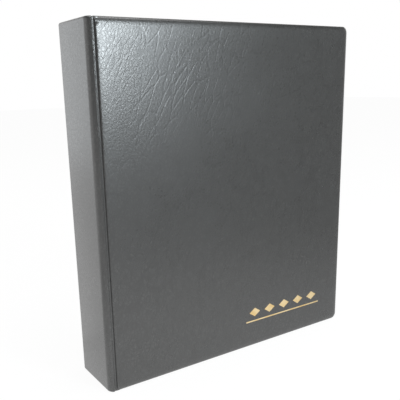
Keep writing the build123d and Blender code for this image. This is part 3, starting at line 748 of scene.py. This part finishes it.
def make_hinge(side, leather, lining):
    """Both layers of one hinge: leatherette outside and lining inside."""
    outer = make_hinge_strip(
        side,
        f"{side}_hinge_leather",
        leather,
        outer_y=STRIP_Y,
        thickness=SKIN,
        x_range=(HINGE_X - STRIP_START - STRIP_TUCK, COVER_EDGE_X + STRIP_TUCK),
        z_range=(STRIP_SHORT, HEIGHT - STRIP_SHORT),
    )
    inner = make_hinge_strip(
        side,
        f"{side}_hinge_lining",
        lining,
        outer_y=STRIP_Y + SKIN,
        thickness=LINING,
        x_range=(SPINE_FACE_X - LINING, COVER_EDGE_X),
        z_range=(LINING_LOW.z, LINING_HIGH.z),
    )
    for piece in (outer, inner):
        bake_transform(piece)


# Linings
def make_cover_lining(side, material):
    """Lining glued to the inside of one cover, folded down its spine side."""
    edge_x = COVER_EDGE_X - LINING
    low = (edge_x, TURN_IN_Y, LINING_LOW.z)
    high = (LINING_HIGH.x, LINING_HIGH.y, LINING_HIGH.z)
    bm = block(low, high)
    cut_across(bm, 0, (COVER_EDGE_X,))

    def in_fold(face):
        middle = face.calc_center_median()
        return near(middle.y, low[1]) and middle.x < COVER_EDGE_X

    fold = [face for face in bm.faces if in_fold(face)]
    grown = bmesh.ops.extrude_face_region(bm, geom=fold)
    moved = [item for item in grown["geom"] if isinstance(item, bmesh.types.BMVert)]
    bmesh.ops.translate(bm, vec=(0, LINING_LOW.y - low[1], 0), verts=moved)
    bmesh.ops.delete(bm, geom=fold, context="FACES_ONLY")
    bevel(bm, edges_along(bm, axis=1, x=high[0]), LINING_CORNER, LINING_CORNER_STEPS)

    def in_rim(a, b):
        return near(a.y, high[1]) and near(b.y, high[1]) and a.x + b.x > 0

    bevel(bm, edges_where(bm, in_rim), LINING / 2, LINING_RIM_STEPS)
    if side == "back":
        to_back(bm)
    piece = make_piece(bm, f"{side}_cover_lining", material)
    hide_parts(f"{side}_lining")
    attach(piece, f"{side}_cover")


def make_spine_lining(material):
    """Lining on the inside of the spine, under the ring mechanism."""
    reach = -LINING_LOW.y
    low = (SPINE_INNER_X, -reach, LINING_LOW.z)
    high = (SPINE_FACE_X, reach, LINING_HIGH.z)
    bm = block(low, high)
    bevel(bm, edges_along(bm, axis=2, x=high[0]), LINING / 2, LINING_RIM_STEPS)
    piece = make_piece(bm, "spine_inner_lining", material)
    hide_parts("spine_lining")
    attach(piece, "spine")


# Pages
def ring_heights():
    """The height of each ring's centre."""
    rings = range(1, RINGS + 1)
    return [sum(corner.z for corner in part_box(f"front_half_ring_{n}")) / 2 for n in rings]


def hole_cutters(low, high):
    """Oblong prisms through a page, one for each ring."""
    bm = bmesh.new()
    wire = (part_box("front_half_ring_1")[1].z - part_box("front_half_ring_1")[0].z) / 2
    radius = HOLE_HEIGHT / 2
    for ring_z in ring_heights():
        top = ring_z + wire + HOLE_REST
        middle = Vector((low.x + HOLE_FROM_EDGE, (low.y + high.y) / 2, top - radius))
        made = bmesh.ops.create_cone(
            bm,
            cap_ends=True,
            segments=HOLE_SIDES,
            radius1=radius,
            radius2=radius,
            depth=HOLE_CUTTER,
        )
        verts = made["verts"]
        bmesh.ops.rotate(bm, verts=verts, matrix=Matrix.Rotation(math.radians(90), 3, "X"))
        spread = (HOLE_WIDTH - HOLE_HEIGHT) / 2
        for vertex in verts:
            vertex.co.x += math.copysign(spread, vertex.co.x)
        bmesh.ops.translate(bm, vec=middle, verts=verts)
    return bm


def page_wave(number, at, low):
    """How far a page stands off its flat place, nothing at its binding edge."""
    along = min(1.0, (at.x - low.x) / PAGE_WAVE_REACH)
    phase = PAGE_PHASE * number
    phase_across = PAGE_PHASE_ACROSS * phase
    length_across = PAGE_WAVE_STRETCH * PAGE_WAVE_LENGTH
    wave_up = math.sin(2 * math.pi * at.z / PAGE_WAVE_LENGTH + phase)
    wave_across = math.sin(2 * math.pi * at.x / length_across + phase_across)
    return PAGE_WAVE * along * (wave_up * wave_across)


def add_sheet(bm, low, high, corner):
    """One flat sheet with rounded corners, cut into cells so that it can bend."""
    part = block(low, high)
    bevel(part, edges_along(part, axis=1), corner, PAGE_CORNER_STEPS)
    cut_across(part, 0, steps(low[0], high[0], PAGE_CELL))
    cut_across(part, 2, steps(low[2], high[2], PAGE_CELL))
    join_into(bm, part)


def make_interleaf(number, material):
    """A black sheet behind one page."""
    low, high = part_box(f"interleaf_{number:02d}")
    bm = bmesh.new()
    add_sheet(bm, low, high, PAGE_CORNER)
    piece = make_piece(bm, f"interleaf_sheet_{number:02d}", material)
    page_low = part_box(f"page_{number:02d}")[0]
    cut_out(piece, hole_cutters(page_low, high))
    for vertex in piece.data.vertices:
        vertex.co.y += page_wave(number, vertex.co, page_low)
    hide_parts(f"interleaf_{number:02d}")
    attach(piece, f"leaf_{number:02d}")


def add_pocket(bm, low, high):
    """The front of one pocket, which bulges away from its seams and stays free at its mouth."""
    part = bmesh.new()
    add_sheet(part, low, high, FILM)
    for vertex in part.verts:
        across = (vertex.co.x - low.x) / (high.x - low.x)
        up = (vertex.co.z - low.z) / (high.z - low.z)
        rise_across = 1 - (2 * across - 1) ** POCKET_FLATNESS
        rise_up = 1 - (1 - min(1.0, up)) ** POCKET_FLATNESS
        vertex.co.y -= POCKET_BULGE * (rise_across * rise_up)
    join_into(bm, part)


def make_page(number, material):
    """A clear page: a back film with four holes, and three pocket fronts welded along their
    seams."""
    low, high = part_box(f"page_{number:02d}")
    bm = bmesh.new()
    add_sheet(bm, (low.x, high.y - FILM, low.z), (high.x, high.y, high.z), PAGE_CORNER)
    piece = make_piece(bm, f"pocket_page_{number:02d}", material)
    cut_out(piece, hole_cutters(low, high))
    bm = bmesh.new()
    bm.from_mesh(piece.data)
    pocket_height = (high.z - low.z - SEAM) / POCKETS
    for pocket in range(POCKETS):
        floor_z = low.z + pocket * pocket_height
        mouth_z = floor_z + pocket_height + SEAM - POCKET_MOUTH
        corner_low = Vector((low.x + BINDING_MARGIN - SEAM, low.y, floor_z))
        corner_high = Vector((high.x - SEAM / 2, low.y + FILM, mouth_z))
        add_pocket(bm, corner_low, corner_high)
    for vertex in bm.verts:
        vertex.co.y += page_wave(number, vertex.co, low)
    bm.to_mesh(piece.data)
    bm.free()
    smooth(piece.data)
    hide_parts(f"page_{number:02d}")
    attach(piece, f"leaf_{number:02d}")


# Finishes of the nodes that stay as they are
def give_finish(nodes, material):
    """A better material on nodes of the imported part."""
    for name in nodes:
        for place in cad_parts[name].material_slots:
            place.material = material


# Stage, lights and camera: turns in degrees, lens and sensor in millimetres, lengths in metres
CAMERA_PLACE = Vector((-281.77, -385.26, 227.02)) * MM
CAMERA_AZIMUTH = 32.817
CAMERA_DOWN = 14.247
CAMERA_ROLL = -1.516
CAMERA_SENSOR = 36
CAMERA_LENS = 51.06
CAMERA_SHIFT = (0.0341, 0.0710)
FLOOR_REACH = 6
FLOOR_CELLS = 4
FLOOR_WHITE = 0.94
FLOOR_NEAR = (-0.1, -0.1, 0.0)
FLOOR_FAR = 0.6
FLOOR_FAR_LEVEL = 0.35
FLOOR_BEHIND = (-0.05, 0.1)
FLOOR_LEFT = (-0.5, -0.2)
FLOOR_LEFT_LEVEL = 0.8
PLAIN_LEVEL = 0.65
ROOM_FROM = -0.4
ROOM_TO = 0.1
ROOM_LEVEL = 0.3
CEILING_FROM = 0.3
CEILING_TO = 0.6
CEILING_LEVEL = 0.25

# Each light: name, place, target, width, height, power and colour
LIGHTS = (
    ("key", (0.38, -1.33, 0.63), (-0.05, 0, 0.49), 0.30, 0.75, 15, (0.87, 0.955, 1.0)),
    ("left fill", (-0.9, 1.3, 0.30), (-0.1, 0, 0.13), 0.9, 0.9, 1.6, (0.88, 0.95, 1.0)),
    ("overhead", (0.1, -0.3, 1.6), (0, 0, 0.1), 1.2, 1.2, 14, (1, 1, 1)),
)


def make_floor():
    """A pale floor that stays white to the camera but for the album's soft shadow."""
    bm = bmesh.new()
    bmesh.ops.create_grid(bm, x_segments=FLOOR_CELLS, y_segments=FLOOR_CELLS, size=FLOOR_REACH)
    mesh = bpy.data.meshes.new("floor")
    bm.to_mesh(mesh)
    bm.free()
    floor = add_object("floor", mesh)
    finish = Finish("floor", Base_Color=grey(0.93), Roughness=0.9, Specular_IOR_Level=0.1)
    camera = finish.node("ShaderNodeLightPath", {}, {}, "Is Camera Ray")
    glossy = finish.node("ShaderNodeLightPath", {}, {}, "Is Glossy Ray")
    through = finish.node("ShaderNodeLightPath", {}, {}, "Is Transmission Ray")
    seen = camera.math("MAXIMUM", glossy.math("MAXIMUM", through))
    here = finish.node("ShaderNodeTexCoord", {}, {}, "Object")
    ends = {"Vector": here, "Vector_001": FLOOR_NEAR}
    from_near = finish.vector_math("DISTANCE", ends, "Value")
    ahead = from_near.spread(0.0, FLOOR_FAR, 1.0, FLOOR_FAR_LEVEL)
    back_y = finish.node("ShaderNodeSeparateXYZ", {}, {"Vector": here}, "Y")
    behind = back_y.spread(*FLOOR_BEHIND)
    side_x = finish.node("ShaderNodeSeparateXYZ", {}, {"Vector": here}, "X")
    leftward = side_x.spread(*FLOOR_LEFT, FLOOR_LEFT_LEVEL, 0.0)
    mirrored = ahead.math("MAXIMUM", behind.math("MAXIMUM", leftward))
    level = camera + (1 - camera) * mirrored
    white = finish.node("ShaderNodeEmission", {}, {"Strength": level}, "Emission")
    shaded = Signal(finish, finish.shader.outputs["BSDF"])
    sockets = {"Fac": seen * FLOOR_WHITE, "Shader": shaded, "Shader_001": white}
    both = finish.node("ShaderNodeMixShader", {}, sockets, "Shader")
    finish.link(both, finish.tree.nodes["Material Output"].inputs["Surface"])
    mesh.materials.append(finish.material)


def make_world():
    """White to the camera. Reflections show white behind, a greyer room in front and a grey
    ceiling."""
    world = bpy.data.worlds.new("surroundings")
    bpy.context.scene.world = world
    world.use_nodes = True
    nodes = Nodes(world.node_tree)
    direction = nodes.node("ShaderNodeTexCoord", {}, {}, "Generated")
    upward = nodes.node("ShaderNodeSeparateXYZ", {}, {"Vector": direction}, "Z")
    backward = nodes.node("ShaderNodeSeparateXYZ", {}, {"Vector": direction}, "Y")
    room = backward.spread(ROOM_FROM, ROOM_TO, ROOM_LEVEL, 1.0)
    mirrored = room * upward.spread(CEILING_FROM, CEILING_TO, 1.0, CEILING_LEVEL)
    camera = nodes.node("ShaderNodeLightPath", {}, {}, "Is Camera Ray")
    glossy = nodes.node("ShaderNodeLightPath", {}, {}, "Is Glossy Ray")
    through = nodes.node("ShaderNodeLightPath", {}, {}, "Is Transmission Ray")
    reflected = glossy.math("MAXIMUM", through)
    level = camera + (1 - camera) * (reflected * mirrored + (1 - reflected) * PLAIN_LEVEL)
    background = world.node_tree.nodes["Background"]
    background.inputs["Color"].default_value = (1, 1, 1, 1)
    nodes.link(level, background.inputs["Strength"])


def make_light(name, place, target, width, height, power, colour):
    """A soft light panel that faces a point."""
    data = bpy.data.lights.new(name, "AREA")
    data.shape = "RECTANGLE"
    data.size = width
    data.size_y = height
    data.energy = power
    data.color = colour
    light = add_object(name, data)
    light.location = place
    light.rotation_mode = "QUATERNION"
    light.rotation_quaternion = (Vector(target) - Vector(place)).to_track_quat("-Z", "Y")


def make_camera():
    """The photograph's viewpoint."""
    data = bpy.data.cameras.new("camera")
    data.sensor_width = CAMERA_SENSOR
    data.lens = CAMERA_LENS
    data.shift_x, data.shift_y = CAMERA_SHIFT
    camera = add_object("camera", data)
    camera.location = CAMERA_PLACE
    turn = Matrix.Rotation(math.radians(-CAMERA_AZIMUTH), 4, "Z")
    tilt = Matrix.Rotation(math.radians(90 - CAMERA_DOWN), 4, "X")
    roll = Matrix.Rotation(math.radians(CAMERA_ROLL), 4, "Z")
    camera.matrix_world = Matrix.Translation(CAMERA_PLACE) @ turn @ tilt @ roll
    bpy.context.scene.camera = camera


def main():
    """Builds every piece, the stage and the camera."""
    leather = leatherette("leatherette", grain=0.038, gloss=0.14)
    stretched = leatherette("stretched_leatherette", grain=0.005, gloss=0.42)
    lining, foam_finish, board = lining_paper(), foam(), greyboard()
    metal, gold, film, paper = nickel(), gold_foil(), clear_film(), black_paper()
    for side in ("front", "back"):
        make_cover_leather(side, leather)
        make_padding(side, foam_finish)
        make_cover_lining(side, lining)
        make_hinge(side, stretched, lining)
    make_spine_leather(stretched)
    make_spine_lining(lining)
    for number in range(1, PAGES + 1):
        make_page(number, film)
        make_interleaf(number, paper)
    rings = [f"{side}_half_ring_{n}" for side in ("front", "back") for n in range(1, RINGS + 1)]
    give_finish(METAL_NODES + PIN_NODES, metal)
    give_finish(rings, metal)
    give_finish(BOARD_NODES, board)
    give_finish(["front_foil_mark"], gold)
    make_floor()
    make_world()
    for light in LIGHTS:
        make_light(*light)
    make_camera()
    bpy.context.scene.view_settings.view_transform = "Standard"


main()
